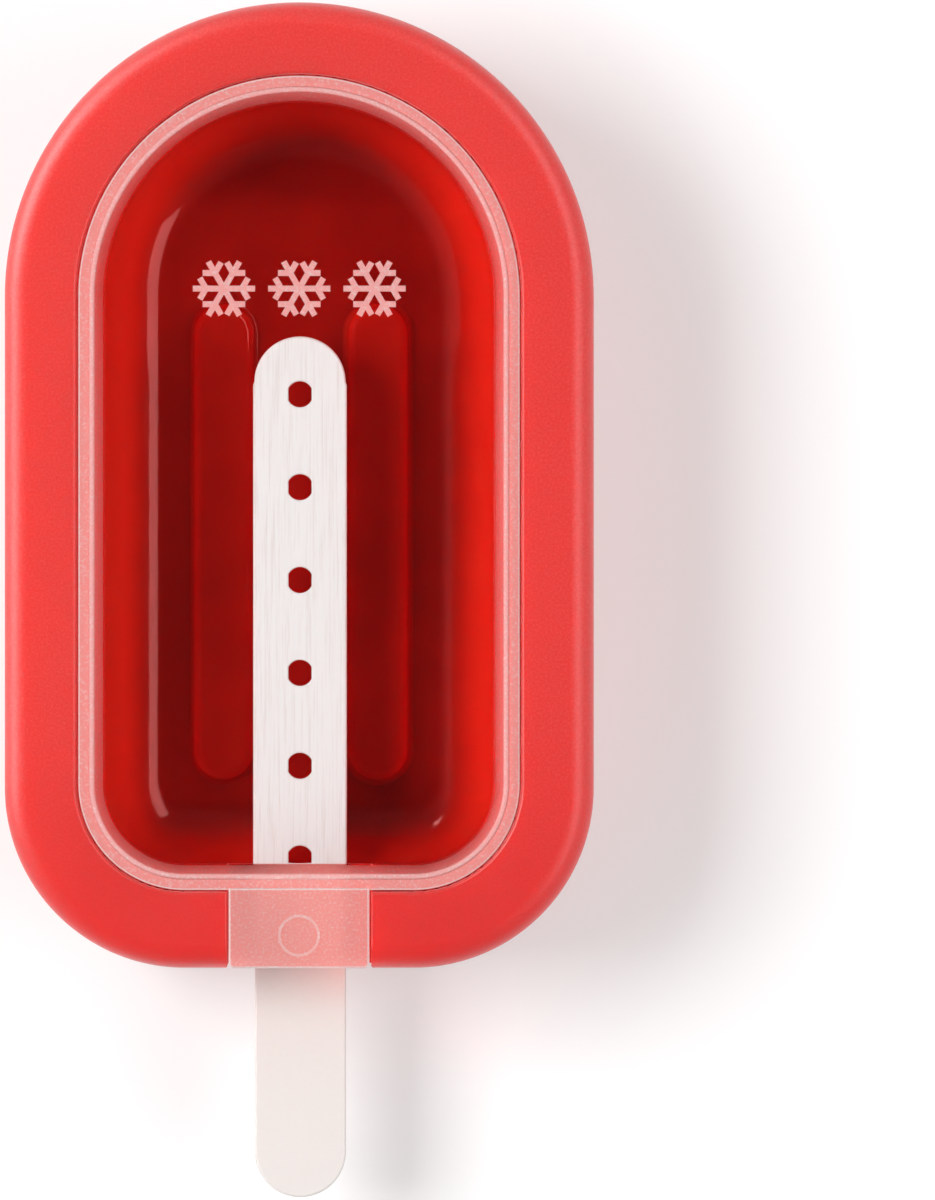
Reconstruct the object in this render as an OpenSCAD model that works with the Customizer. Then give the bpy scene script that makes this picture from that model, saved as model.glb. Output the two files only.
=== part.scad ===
// Ice pop mold in three pieces: a soft one-piece mold body, a clear lid with
// a tab in front, and a flat reusable stick that passes through the front wall.
// +X is to the right, +Y runs from the stick's handle to the arch of the mold
// and +Z is up. The origin is the centre of the footprint, on the table.

/* [Mold body] */
// Width of the body across its straight sides
body_w = 72; // [66:1:84]
// Length of the body, from its front face to the top of its arch
body_l = 118; // [110:1:140]
// Height of the body
body_h = 33; // [30:1:42]
// Radius of the two front corners, seen from above
corner_r = 22; // [20:1:28]
// Rounding of the outer top edge
top_edge_r = 3; // [1:0.5:4]
// Distance by which the foot is smaller than the rim, on each side
side_draft = 0.8; // [0.2:0.1:2]
// Thickness of the outer skirt
skirt_t = 3; // [2:0.25:4]
// Rounding of the foot's outer edge
foot_edge_r = 0.8; // [0.3:0.1:1.2]
// Thickness of the rim between the skirt and the cup
rim_t = 4.5; // [3.5:0.25:6]
// Fillet between the skirt and the rim, on the inside
rim_fillet_r = 2; // [0.5:0.25:3]
// Width of the rim beside the lid
rim_w = 9; // [7.5:0.5:11]
// Width of the rim in front of the lid
front_rim_w = 9.5; // [8:0.5:12]

/* [Cavity] */
// Thickness of the cup's wall and floor
cup_t = 2.8; // [2:0.2:3.4]
// Height of the cup's underside above the table
cup_lift = 3.2; // [2:0.2:6]
// Fillet between the cavity's wall and its floor
cup_r = 10; // [5:0.5:12]
// Lean of the cavity's wall, in degrees
cup_draft = 5; // [2:0.5:7]
// Width of each floor ridge
ridge_w = 7.5; // [5:0.1:8]
// Height of each floor ridge
ridge_h = 2; // [1.4:0.2:3]
// Length of each floor ridge
ridge_l = 58.8; // [40:0.2:60]
// Sideways distance from the middle to a ridge's centre line
ridge_x = 9.5; // [7:0.1:9.7]
// Distance from the lid's front edge to the ridges
ridge_gap = 13.2; // [13:0.1:18]
// Rounding of a ridge's top edge
ridge_edge_r = 1.2; // [0.4:0.1:1.3]
// Fillet at a ridge's foot
ridge_foot_r = 0.8; // [0.3:0.1:1]

/* [Lid] */
// Thickness of the lid
lid_t = 1.4; // [1:0.1:1.8]
// Distance from the rim's top down to the lid's flange
lid_drop = 0.5; // [0.3:0.1:1]
// Distance from the lid's outer edge to the bead on its flange
flange_w = 1.7; // [1.5:0.1:2.2]
// Radius of the bead on the flange
bead_r = 0.25; // [0.15:0.05:0.3]
// Width of the frosted slope between the bead and the pane
slope_w = 1.45; // [1:0.05:2]
// Depth of the pane below the flange
pane_drop = 2.2; // [1.6:0.1:3]
// Thickness of the slope, measured level
slope_t = 1.3; // [1:0.1:1.6]
// Width of the front tab
tab_w = 17.2; // [16:0.2:20]
// Rounding of the tab's front corners, seen from above
tab_corner_r = 0.7; // [0.3:0.1:1.2]
// Distance that the tab's block reaches in behind the lid's front edge
tab_lap = 1.6; // [1.4:0.1:2]
// Mean diameter of the ring on the tab
ring_d = 4.8; // [3:0.2:7]
// Width of the ring's line
ring_line = 0.36; // [0.2:0.02:0.6]
// Distance from the tab's front to the ring's centre
ring_y = 4; // [3.8:0.1:5]
// Height of the ring and of the ice crystals above their surface
relief_h = 0.15; // [0.1:0.05:0.3]
// Number of ice crystals on the pane
crystal_n = 3; // [1:1:4]
// Diameter of an ice crystal
crystal_d = 7.6; // [5:0.2:8]
// Distance between two crystals
crystal_pitch = 9.2; // [8.6:0.2:10]
// Distance from the arch's centre to the row of crystals
crystal_y = 1; // [0:0.5:3]
// Width of a crystal's arm
crystal_line = 0.72; // [0.5:0.02:1]
// Distance from a crystal's centre to the barbs on its arms
barb_at = 2.2; // [1.6:0.1:2.6]
// Length of a barb
barb_l = 1.5; // [1:0.1:1.8]

/* [Stick] */
// Length of the stick
stick_l = 105.8; // [96:0.2:112]
// Thickness of the stick
stick_t = 2.4; // [2:0.1:3]
// Width of the blade, the part that the ice holds
blade_w = 11.5; // [10:0.1:13]
// Length of the blade
blade_l = 72.5; // [68:0.5:74]
// Width of the handle and of both round ends
handle_w = 11.2; // [9.6:0.1:11.4]
// Length of the handle that stands out of the mold
handle_l = 28.5; // [22:0.5:36]
// Number of holes in the blade
hole_n = 6; // [3:1:6]
// Distance between two holes
hole_pitch = 11.4; // [9:0.1:11.5]
// Distance from the tip to the first hole
hole_from_tip = 7.1; // [6:0.1:9]
// Length of a hole, along the stick
hole_d = 3.2; // [2:0.1:4]
// Width of a hole, between its two flats
hole_w = 2.85; // [1.8:0.05:3.6]

/* [Fits] */
// Sideways gap between the lid or its tab and the body
side_gap = 0.2; // [0.1:0.05:0.4]
// Upright gap where one piece rests on another
seat_gap = 0.15; // [0.1:0.05:0.3]
// Sideways gap between the stick and its slot
stick_gap = 0.2; // [0.1:0.05:0.4]
// Rounding of the rim's edge beside the lid
seat_edge_r = 0.4; // [0.2:0.1:0.6]

/* [Hidden] */
$fn = 120;

// Places along Y: the whole footprint is centred
total_l = body_l + handle_l;
front_y = handle_l - total_l / 2;
arch_y = total_l / 2 - body_w / 2;
stick_end_y = -total_l / 2;
stick_tip_y = stick_end_y + stick_l;

// Outline of the lid, which the cavity follows
lid_half_w = body_w / 2 - rim_w;
lid_corner_r = corner_r - rim_w;
lid_front_y = front_y + front_rim_w;

// Levels
lid_top_z = body_h - lid_drop;
seat_z = lid_top_z - lid_t - seat_gap;
pane_z = lid_top_z - pane_drop;
floor_z = cup_lift + cup_t;
stick_z = (floor_z + pane_z - lid_t - stick_t) / 2;
notch_z = stick_z + stick_t;

// Underside of the lid's slope, and the cavity's edge beside it
slope_run = slope_w / pane_drop;
plug_in = flange_w + lid_t * slope_run - slope_t;
cavity_in = plug_in - side_gap;

// Floor fillet, limited by the corner that it has to turn in
cavity_h = seat_z - floor_z;
cup_r_max = (lid_corner_r - cavity_in - cavity_h * tan(cup_draft)) / (1 / cos(cup_draft) - tan(cup_draft));
cup_fillet_r = min(cup_r, cup_r_max);
fillet_z = floor_z + cup_fillet_r;
fillet_in = cavity_in + (seat_z - fillet_z) * tan(cup_draft) + cup_fillet_r / cos(cup_draft);

// Width of the notch that takes the tab, and of the slot that takes the stick
notch_w = tab_w + 2 * side_gap;
slot_w = blade_w + 2 * stick_gap;

// Spare length of a cut past the face that it leaves through
over = 1;

// Section as it stands beside an axis, with the outline at radius r
module beside_axis(r) {
    intersection() {
        translate([r, 0]) mirror([1, 0]) children();
        translate([0, -body_h]) square([2 * body_w, 3 * body_h]);
    }
}

// Sweeps a section round an outline with an arch at the back and two round
// front corners. In the section X is the depth inwards and Y is the height.
module sweep(half_w, outline_front_y, outline_corner_r) {
    corner_y = outline_front_y + outline_corner_r;
    corner_x = half_w - outline_corner_r;
    translate([0, arch_y, 0]) rotate_extrude(angle = 180) beside_axis(half_w) children();
    for (side = [-1, 1]) {
        translate([0, arch_y, 0]) rotate([90, 0, 0]) linear_extrude(height = arch_y - corner_y)
            face_side(side) beside_axis(half_w) children();
        translate([side * corner_x, corner_y, 0]) rotate([0, 0, side < 0 ? 180 : 270])
            rotate_extrude(angle = 90) beside_axis(outline_corner_r) children();
    }
    translate([-corner_x, corner_y, 0]) rotate([90, 0, 90]) linear_extrude(height = 2 * corner_x)
        mirror([1, 0]) beside_axis(outline_corner_r) children();
}

// Right-hand section as drawn, or the same mirrored to the left
module face_side(side) {
    if (side > 0) children();
    else mirror([1, 0]) children();
}

// Section of the rim and the skirt, with the depth from the body's outline
module rim_section() {
    rim_reach = rim_w + cavity_in;
    rim_z = body_h - rim_t;
    difference() {
        union() {
            polygon([[side_draft + foot_edge_r, 0], [side_draft + skirt_t, 0], [skirt_t, rim_z],
                     [rim_reach, rim_z], [rim_reach, body_h], [top_edge_r, body_h],
                     [top_edge_r, body_h - top_edge_r], [0, body_h - top_edge_r],
                     [side_draft, foot_edge_r]]);
            translate([top_edge_r, body_h - top_edge_r]) circle(top_edge_r);
            translate([side_draft + foot_edge_r, foot_edge_r]) circle(foot_edge_r);
            translate([skirt_t, rim_z - rim_fillet_r]) square([rim_fillet_r, rim_fillet_r]);
        }
        translate([skirt_t + rim_fillet_r, rim_z - rim_fillet_r]) circle(rim_fillet_r);
    }
}

// Section of the cavity, or of the cup round it where grow is the cup's wall,
// with the depth from the lid's outline
module cup_section(grow) {
    r = cup_fillet_r + grow;
    lip_in = fillet_in - r / cos(cup_draft) - (seat_z - fillet_z) * tan(cup_draft);
    polygon([[lip_in, seat_z], [fillet_in - r * cos(cup_draft), fillet_z - r * sin(cup_draft)],
             [fillet_in, fillet_z], [fillet_in, fillet_z - r], [lid_half_w, fillet_z - r],
             [lid_half_w, seat_z]]);
    translate([fillet_in, fillet_z]) circle(r);
}

// Section of the recess that takes the lid's flange, with a rounded edge
module seat_section() {
    translate([-side_gap, seat_z]) square([lid_half_w + side_gap, body_h + over - seat_z]);
    difference() {
        translate([-side_gap - seat_edge_r, body_h - seat_edge_r]) square([seat_edge_r, seat_edge_r + over]);
        translate([-side_gap - seat_edge_r, body_h - seat_edge_r]) circle(seat_edge_r);
    }
}

// Half section of a floor ridge: rounded on top, filleted at its foot
module ridge_section() {
    sunk = cup_t / 2;
    translate([0, -sunk]) square([ridge_w / 2, ridge_h - ridge_edge_r + sunk]);
    square([ridge_w / 2 - ridge_edge_r, ridge_h]);
    translate([ridge_w / 2 - ridge_edge_r, ridge_h - ridge_edge_r]) intersection() {
        circle(ridge_edge_r);
        square(ridge_edge_r);
    }
    difference() {
        translate([ridge_w / 2, -sunk]) square([ridge_foot_r, ridge_foot_r + sunk]);
        translate([ridge_w / 2 + ridge_foot_r, ridge_foot_r]) circle(ridge_foot_r);
    }
}

// One ridge on the cavity's floor, with round ends
module ridge() {
    straight_l = ridge_l - ridge_w;
    rotate([90, 0, 0]) linear_extrude(height = straight_l, center = true) {
        ridge_section();
        mirror([1, 0]) ridge_section();
    }
    for (end = [0, 180])
        rotate([0, 0, end]) translate([0, straight_l / 2, 0]) rotate_extrude(angle = 180) ridge_section();
}

// Block between the skirt and the cup that holds the notch and the slot
module front_block() {
    block_w = notch_w + 2 * cup_t;
    block_y = front_y + skirt_t / 2;
    block_z = stick_z - seat_gap - cup_t;
    translate([-block_w / 2, block_y, block_z])
        cube([block_w, lid_front_y + cavity_in - block_y, body_h - rim_t / 2 - block_z]);
}

// Soft mold body, moulded in one piece
module mold_body() {
    cut_l = front_rim_w + lid_corner_r;
    color("#e23c38") {
        difference() {
            union() {
                sweep(body_w / 2, front_y, corner_r) rim_section();
                sweep(lid_half_w, lid_front_y, lid_corner_r) cup_section(cup_t);
                front_block();
            }
            sweep(lid_half_w, lid_front_y, lid_corner_r) cup_section(0);
            sweep(lid_half_w, lid_front_y, lid_corner_r) seat_section();
            translate([-notch_w / 2, front_y - over, notch_z]) cube([notch_w, cut_l, body_h]);
            translate([-slot_w / 2, front_y - over, stick_z - seat_gap]) cube([slot_w, cut_l, body_h]);
        }
        for (side = [-1, 1])
            translate([side * ridge_x, lid_front_y + ridge_gap + ridge_l / 2, floor_z]) ridge();
    }
}

// Section of the lid: flange, bead, slope and pane
module lid_section() {
    pane_in = flange_w + slope_w;
    plug_foot_in = plug_in + pane_drop * slope_run;
    polygon([[0, lid_top_z - lid_t], [plug_in, lid_top_z - lid_t], [plug_foot_in, pane_z - lid_t],
             [lid_half_w, pane_z - lid_t], [lid_half_w, pane_z], [pane_in, pane_z],
             [flange_w, lid_top_z], [0, lid_top_z]]);
    translate([flange_w, lid_top_z]) circle(bead_r);
}

// Outline of the tab from above, with its two front corners rounded
module tab_outline() {
    tab_l = front_rim_w + tab_lap;
    translate([-tab_w / 2, front_y + tab_corner_r]) square([tab_w, tab_l - tab_corner_r]);
    translate([-tab_w / 2 + tab_corner_r, front_y]) square([tab_w - 2 * tab_corner_r, tab_corner_r]);
    for (side = [-1, 1])
        translate([side * (tab_w / 2 - tab_corner_r), front_y + tab_corner_r]) circle(tab_corner_r);
}

// Tab: a hollow block, open below, that fills the notch down to the stick
module tab() {
    tab_z = notch_z + seat_gap;
    difference() {
        translate([0, 0, tab_z]) linear_extrude(height = lid_top_z - tab_z) tab_outline();
        translate([-tab_w / 2 + lid_t, front_y + lid_t, tab_z - over])
            cube([tab_w - 2 * lid_t, front_rim_w + tab_lap - 2 * lid_t, body_h - lid_t - tab_z + over]);
    }
    intersection() {
        translate([0, 0, body_h - lid_t]) linear_extrude(height = lid_t) tab_outline();
        translate([-tab_w / 2, front_y, 0]) cube([tab_w, front_rim_w, body_h]);
    }
    translate([0, front_y + ring_y, body_h]) linear_extrude(height = relief_h) difference() {
        circle(d = ring_d + ring_line);
        circle(d = ring_d - ring_line);
    }
}

// Plain six-armed ice crystal
module crystal() {
    for (arm = [0:60:300]) rotate(arm) {
        translate([0, -crystal_line / 2]) square([crystal_d / 2, crystal_line]);
        for (turn = [-60, 60])
            translate([barb_at, 0]) rotate(turn) translate([0, -crystal_line / 2])
                square([barb_l, crystal_line]);
    }
}

// Clear lid, moulded in one piece with its tab
module lid() {
    color("mistyrose", 0.75) {
        sweep(lid_half_w, lid_front_y, lid_corner_r) lid_section();
        tab();
        for (i = [0:crystal_n - 1])
            translate([(i - (crystal_n - 1) / 2) * crystal_pitch, arch_y + crystal_y, pane_z])
                linear_extrude(height = relief_h) crystal();
    }
}

// Outline of the stick from above: a blade, a handle and two round ends
module stick_outline() {
    end_r = handle_w / 2;
    translate([-handle_w / 2, stick_end_y + end_r]) square([handle_w, stick_l - handle_w]);
    translate([-blade_w / 2, stick_tip_y - blade_l]) square([blade_w, blade_l - end_r]);
    translate([0, stick_end_y + end_r]) circle(end_r);
    translate([0, stick_tip_y - end_r]) circle(end_r);
}

// Flat stick with a row of holes that the ice locks into
module stick() {
    color("#f3eeea") translate([0, 0, stick_z]) linear_extrude(height = stick_t) difference() {
        stick_outline();
        for (i = [0:hole_n - 1]) translate([0, stick_tip_y - hole_from_tip - i * hole_pitch]) intersection() {
            circle(d = hole_d);
            square([hole_w, hole_d + over], center = true);
        }
    }
}

mold_body();
lid();
stick();
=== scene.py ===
from math import atan, cos, degrees, pi, radians, sin, tan

import bmesh
import bpy
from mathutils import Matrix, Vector


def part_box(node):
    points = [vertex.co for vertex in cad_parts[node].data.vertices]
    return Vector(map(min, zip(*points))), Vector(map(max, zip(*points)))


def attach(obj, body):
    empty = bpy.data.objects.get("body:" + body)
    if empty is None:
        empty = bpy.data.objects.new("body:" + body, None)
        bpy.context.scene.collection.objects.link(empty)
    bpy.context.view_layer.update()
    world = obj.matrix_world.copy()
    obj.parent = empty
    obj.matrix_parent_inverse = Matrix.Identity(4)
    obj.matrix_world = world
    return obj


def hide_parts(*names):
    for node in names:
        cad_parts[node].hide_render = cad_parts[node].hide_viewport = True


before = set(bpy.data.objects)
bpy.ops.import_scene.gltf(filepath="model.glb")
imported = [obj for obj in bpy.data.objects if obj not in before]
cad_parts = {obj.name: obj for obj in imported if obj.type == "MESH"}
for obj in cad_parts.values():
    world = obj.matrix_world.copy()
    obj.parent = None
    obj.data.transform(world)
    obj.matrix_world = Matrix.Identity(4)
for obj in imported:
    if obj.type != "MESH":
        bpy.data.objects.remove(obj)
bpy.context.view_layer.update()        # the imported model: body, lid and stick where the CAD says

mm = 0.001               # every size below is in millimetres until it meets this

bodyLow, bodyHigh = (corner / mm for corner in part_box("mold_body"))
stickLow, stickHigh = (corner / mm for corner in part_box("stick"))


# Helpers for node trees, colours and meshes

def addNode(tree, kind, links=None, **settings):
    node = tree.nodes.new(kind)
    for name, value in settings.items():
        setattr(node, name, value)
    for key, value in (links or {}).items():
        if isinstance(value, bpy.types.NodeSocket):
            tree.links.new(value, node.inputs[key])
        else:
            node.inputs[key].default_value = value
    return node


def linear(hexColour):   # sRGB hex to the linear RGBA that shaders take
    parts = [int(hexColour[i:i + 2], 16) / 255 for i in (1, 3, 5)]
    return [c / 12.92 if c <= 0.04045 else ((c + 0.055) / 1.055) ** 2.4 for c in parts] + [1]


def meshObject(name, points, faces=(), edges=()):
    mesh = bpy.data.meshes.new(name)
    mesh.from_pydata([Vector(p) * mm for p in points], edges, faces)
    obj = bpy.data.objects.new(name, mesh)
    bpy.context.scene.collection.objects.link(obj)
    return obj


def removeObjects(*objects):
    for obj in objects:
        bpy.data.objects.remove(obj)


def applied(obj, name):  # the object with its modifiers turned into plain mesh
    seen = obj.evaluated_get(bpy.context.evaluated_depsgraph_get())
    mesh = bpy.data.meshes.new_from_object(seen)
    mesh.name = name
    done = bpy.data.objects.new(name, mesh)
    bpy.context.scene.collection.objects.link(done)
    removeObjects(obj)
    return done


def arc(centre, radius, start, end, steps):    # round stretch of a section, angles in degrees
    angles = [radians(start + (end - start) * i / steps) for i in range(steps + 1)]
    return [(centre[0] + radius * cos(a), centre[1] + radius * sin(a)) for a in angles]


# Sweep of a section round an outline, made with Geometry Nodes

sweepSteps = {"arch": 128, "corner": 40}


def ringObject(name, points, inward):        # a closed line that knows, at each point, the way inwards
    ring = meshObject(name, [(x, y, 0) for x, y in points + points[:1]])       # the last column closes the ring
    layer = ring.data.attributes.new("inward", "FLOAT_VECTOR", "POINT")
    layer.data.foreach_set("vector", [c for x, y in inward + inward[:1] for c in (x, y, 0)])
    return ring


def cornerRing(name, corners):   # the same for an outline of corners, anticlockwise; a hole's are clockwise
    points = [Vector(corner) for corner in corners]
    sides = [(points[(i + 1) % len(points)] - points[i]).normalized() for i in range(len(points))]
    across = [Vector((-side.y, side.x)) for side in sides]
    inward = [(across[i - 1] + across[i]) / (1 + across[i - 1].dot(across[i])) for i in range(len(points))]
    return ringObject(name, [tuple(point) for point in points], [tuple(way) for way in inward])


def archRing(name, halfWidth, archY, frontY, cornerRadius, centreX=0):
    archSteps, cornerSteps = sweepSteps["arch"], sweepSteps["corner"]
    cornerX, cornerY = halfWidth - cornerRadius, frontY + cornerRadius
    stretches = [((0, archY), halfWidth, 0, 180, archSteps),
                 ((-cornerX, cornerY), cornerRadius, 180, 90, cornerSteps),
                 ((cornerX, cornerY), cornerRadius, 270, 90, cornerSteps)]
    points, inward = [], []
    for centre, radius, start, turn, steps in stretches:
        for x, y in arc(centre, radius, start, start + turn, steps):
            points.append((x + centreX, y))
            inward.append(((centre[0] - x) / radius, (centre[1] - y) / radius))
    return ringObject(name, points, inward)


def sweepTree():
    tree = bpy.data.node_groups.new("sectionSweep", "GeometryNodeTree")
    tree.is_modifier = True
    face = tree.interface
    for name, kind in (("Outline", "NodeSocketObject"), ("Front outline", "NodeSocketObject"),
                       ("Section", "NodeSocketObject"), ("Finish", "NodeSocketMaterial")):
        face.new_socket(name=name, in_out="INPUT", socket_type=kind)
    face.new_socket(name="Geometry", in_out="OUTPUT", socket_type="NodeSocketGeometry")
    given = addNode(tree, "NodeGroupInput").outputs
    outline, inner, section = (
        addNode(tree, "GeometryNodeObjectInfo", {"Object": given[name]}).outputs["Geometry"]
        for name in ("Outline", "Front outline", "Section"))
    columns = addNode(tree, "GeometryNodeAttributeDomainSize", {"Geometry": outline}).outputs["Point Count"]
    rows = addNode(tree, "GeometryNodeAttributeDomainSize", {"Geometry": section}).outputs["Point Count"]
    grid = addNode(tree, "GeometryNodeMeshGrid", {"Vertices X": columns, "Vertices Y": rows}).outputs["Mesh"]
    index = addNode(tree, "GeometryNodeInputIndex").outputs[0]
    row = addNode(tree, "ShaderNodeMath", {0: index, 1: rows}, operation="MODULO").outputs[0]
    share = addNode(tree, "ShaderNodeMath", {0: index, 1: rows}, operation="DIVIDE").outputs[0]
    column = addNode(tree, "ShaderNodeMath", {0: share}, operation="FLOOR").outputs[0]
    place = addNode(tree, "GeometryNodeInputPosition").outputs[0]
    inward = addNode(tree, "GeometryNodeInputNamedAttribute", {"Name": "inward"}, data_type="FLOAT_VECTOR")
    onOutline = addNode(tree, "GeometryNodeSampleIndex", {"Geometry": outline, "Value": place, "Index": column},
                        data_type="FLOAT_VECTOR").outputs[0]
    onInner = addNode(tree, "GeometryNodeSampleIndex", {"Geometry": inner, "Value": place, "Index": column},
                      data_type="FLOAT_VECTOR").outputs[0]
    inwards = addNode(tree, "GeometryNodeSampleIndex",
                      {"Geometry": outline, "Value": inward.outputs["Attribute"], "Index": column},
                      data_type="FLOAT_VECTOR").outputs[0]
    onSection = addNode(tree, "GeometryNodeSampleIndex", {"Geometry": section, "Value": place, "Index": row},
                        data_type="FLOAT_VECTOR").outputs[0]
    parts = addNode(tree, "ShaderNodeSeparateXYZ", {0: onSection}).outputs
    which = addNode(tree, "ShaderNodeMath", {0: parts["Y"], 1: mm}, operation="DIVIDE").outputs[0]
    start = addNode(tree, "ShaderNodeMix", {"Factor": which, 4: onOutline, 5: onInner}, data_type="VECTOR").outputs[1]
    reach = addNode(tree, "ShaderNodeVectorMath", {0: inwards, "Scale": parts["X"]}, operation="SCALE").outputs[0]
    level = addNode(tree, "ShaderNodeVectorMath", {0: start, 1: reach}, operation="ADD").outputs[0]
    height = addNode(tree, "ShaderNodeCombineXYZ", {"Z": parts["Z"]}).outputs[0]
    spot = addNode(tree, "ShaderNodeVectorMath", {0: level, 1: height}, operation="ADD").outputs[0]
    swept = addNode(tree, "GeometryNodeSetPosition", {"Geometry": grid, "Position": spot}).outputs[0]
    real = addNode(tree, "GeometryNodeRealizeInstances", {"Geometry": swept}).outputs[0]
    finished = addNode(tree, "GeometryNodeSetMaterial", {"Geometry": real, "Material": given["Finish"]}).outputs[0]
    addNode(tree, "NodeGroupOutput", {"Geometry": finished})
    return tree


sectionSweep = sweepTree()


def grown(name, tree, values):       # the plain mesh that a Geometry Nodes tree makes of these inputs
    obj = meshObject(name, [(0, 0, 0)])
    modifier = obj.modifiers.new(name, "NODES")
    modifier.node_group = tree
    for socket in tree.interface.items_tree:
        if socket.in_out == "INPUT":
            modifier[socket.identifier] = values[socket.name]
    return applied(obj, name)


def swept(name, outline, section, finish, inner=None):
    # a section point is (depth inwards, 0 for the outline or 1 for the inner one, height)
    line = meshObject(name + "Section", section)
    obj = grown(name, sectionSweep, {"Outline": outline, "Front outline": inner or outline, "Section": line,
                                     "Finish": finish})
    removeObjects(line)
    return obj


def repeatTree():                # a shape turned round a centre in even steps, and the whole set out in a row
    tree = bpy.data.node_groups.new("turnedRow", "GeometryNodeTree")
    tree.is_modifier = True
    for name, kind in (("Shape", "NodeSocketObject"), ("Turns", "NodeSocketInt"), ("Count", "NodeSocketInt"),
                       ("First", "NodeSocketVector"), ("Step", "NodeSocketVector"), ("Finish", "NodeSocketMaterial")):
        tree.interface.new_socket(name=name, in_out="INPUT", socket_type=kind)
    tree.interface.new_socket(name="Geometry", in_out="OUTPUT", socket_type="NodeSocketGeometry")
    given = addNode(tree, "NodeGroupInput").outputs
    shape = addNode(tree, "GeometryNodeObjectInfo", {"Object": given["Shape"]}).outputs["Geometry"]
    middle = addNode(tree, "GeometryNodeMeshLine", {"Count": given["Turns"], "Offset": (0, 0, 0)}).outputs[0]
    index = addNode(tree, "GeometryNodeInputIndex").outputs[0]
    part = addNode(tree, "ShaderNodeMath", {0: 2 * pi, 1: given["Turns"]}, operation="DIVIDE").outputs[0]
    angle = addNode(tree, "ShaderNodeMath", {0: index, 1: part}, operation="MULTIPLY").outputs[0]
    turned = addNode(tree, "ShaderNodeCombineXYZ", {"Z": angle}).outputs[0]
    star = addNode(tree, "GeometryNodeInstanceOnPoints", {"Points": middle, "Instance": shape,
                                                          "Rotation": turned}).outputs[0]
    row = addNode(tree, "GeometryNodeMeshLine", {"Count": given["Count"], "Start Location": given["First"],
                                                 "Offset": given["Step"]}).outputs[0]
    whole = addNode(tree, "GeometryNodeInstanceOnPoints", {"Points": row, "Instance": star}).outputs[0]
    real = addNode(tree, "GeometryNodeRealizeInstances", {"Geometry": whole}).outputs[0]
    finished = addNode(tree, "GeometryNodeSetMaterial", {"Geometry": real, "Material": given["Finish"]}).outputs[0]
    addNode(tree, "NodeGroupOutput", {"Geometry": finished})
    return tree


turnedRow = repeatTree()


def repeated(name, shape, turns, count, first, step, finish):
    row = grown(name, turnedRow, {"Shape": shape, "Turns": turns, "Count": count, "First": Vector(first) * mm,
                                  "Step": Vector(step) * mm, "Finish": finish})
    removeObjects(shape)
    return row


def edgeSection(low, high, edge, foot):      # an upright side from top to bottom, with its two edges rounded
    side = arc((edge, high - edge), edge, 90, 180, 6)
    side += arc((foot, low + foot), foot, 180, 270, 6) if foot else [(0, low)]
    return [(depth, 0, height) for depth, height in side]


# Mesh work that the pieces share

near = 0.001             # points closer than this are one
past = 5                 # cutting blocks run past the walls by this
overlap = 1              # and shapes that are merged or hollowed reach this far into each other


def joined(name, *objects, merge=near):          # one mesh of several, each keeping its own finish
    finishes = []
    whole = bmesh.new()
    for obj in objects:
        slots = [m for m in obj.data.materials]
        for material in slots:
            if material and material not in finishes:
                finishes.append(material)
        part = bmesh.new()
        part.from_mesh(obj.data)
        for face in part.faces:
            material = slots[face.material_index] if slots else None
            face.material_index = finishes.index(material) if material else 0
        mesh = bpy.data.meshes.new(name)
        part.to_mesh(mesh)
        part.free()
        whole.from_mesh(mesh)
        bpy.data.meshes.remove(mesh)
        removeObjects(obj)
    if merge:
        bmesh.ops.remove_doubles(whole, verts=whole.verts, dist=merge * mm)
    mesh = bpy.data.meshes.new(name)
    whole.to_mesh(mesh)
    whole.free()
    for material in finishes:
        mesh.materials.append(material)
    obj = bpy.data.objects.new(name, mesh)
    bpy.context.scene.collection.objects.link(obj)
    return obj


def capped(obj, levels):        # flat faces over the open rings at these heights
    work = bmesh.new()
    work.from_mesh(obj.data)
    for height, finish in levels:
        ring = [e for e in work.edges if e.is_boundary and all(abs(v.co.z / mm - height) < near for v in e.verts)]
        made = bmesh.ops.triangle_fill(work, edges=ring, use_beauty=True, use_dissolve=True)
        for item in made["geom"]:
            if isinstance(item, bmesh.types.BMFace):
                item.material_index = obj.data.materials.find(finish.name)
    bmesh.ops.recalc_face_normals(work, faces=work.faces)
    work.to_mesh(obj.data)
    work.free()


def block(name, low, high, finish):
    points = [(x, y, z) for x in (low[0], high[0]) for y in (low[1], high[1]) for z in (low[2], high[2])]
    sides = [(0, 1, 3, 2), (4, 6, 7, 5), (0, 4, 5, 1), (2, 3, 7, 6), (0, 2, 6, 4), (1, 5, 7, 3)]
    obj = meshObject(name, points, sides)
    obj.data.materials.append(finish)
    return obj


def combine(obj, tool, operation, selfCrossing=False):
    boolean = obj.modifiers.new("combine", "BOOLEAN")
    boolean.object = tool
    boolean.operation = operation
    boolean.solver = "EXACT"
    boolean.use_self = selfCrossing        # for a tool whose own pieces cross
    boolean.material_mode = "TRANSFER"
    done = applied(obj, obj.name)
    removeObjects(tool)
    return done


def rounded(obj, width, limit, wanted=lambda middle: True):      # rounds the wanted edges sharper than the limit
    work = bmesh.new()
    work.from_mesh(obj.data)
    weight = work.edges.layers.float.new("bevel_weight_edge")
    for edge in work.edges:
        middle = (edge.verts[0].co + edge.verts[1].co) / 2 / mm
        sharp = len(edge.link_faces) == 2 and edge.calc_face_angle() > radians(limit)
        edge[weight] = 1.0 if sharp and wanted(middle) else 0.0
    work.to_mesh(obj.data)
    work.free()
    bevel = obj.modifiers.new("round", "BEVEL")
    bevel.width = width * mm
    bevel.segments = 3
    bevel.limit_method = "WEIGHT"
    bevel.use_clamp_overlap = False
    bevel.miter_outer = "MITER_ARC"
    return applied(obj, obj.name)


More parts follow.
